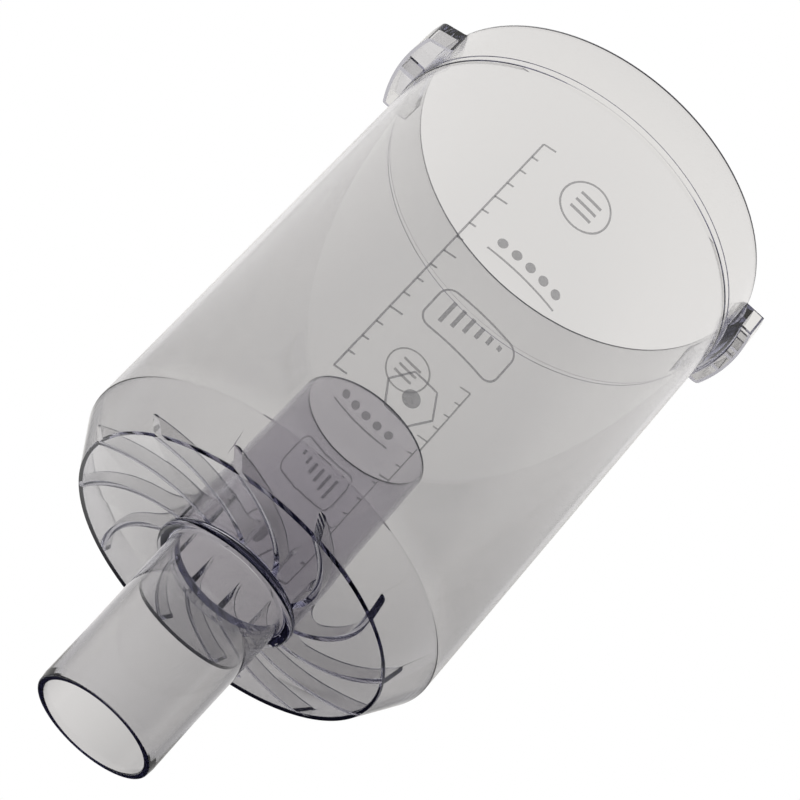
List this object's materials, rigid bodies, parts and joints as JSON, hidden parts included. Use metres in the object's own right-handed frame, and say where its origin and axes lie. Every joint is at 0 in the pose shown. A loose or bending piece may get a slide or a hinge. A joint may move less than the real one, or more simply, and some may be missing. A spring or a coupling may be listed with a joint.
{
  "type": "cyclone dust bin",
  "caption": "Clear round dust bin of a cyclone cleaner, with a wide mouth, coned floor with swirl ribs, inner chimney, outlet neck and side lugs.",
  "frame": {"origin": "centre of the mouth rim, in the plane that the bin stands on", "axes": "+Z along the bin's axis from the mouth to the outlet neck, +X through one of the two lugs, -Y toward the picture's viewer"},
  "size_m": [0.166, 0.15, 0.285],
  "materials": {
    "clear_plastic": "clear, polished"
  },
  "bodies": {
    "root": {"dust_bin": "clear_plastic"}
  },
  "joints": []
}
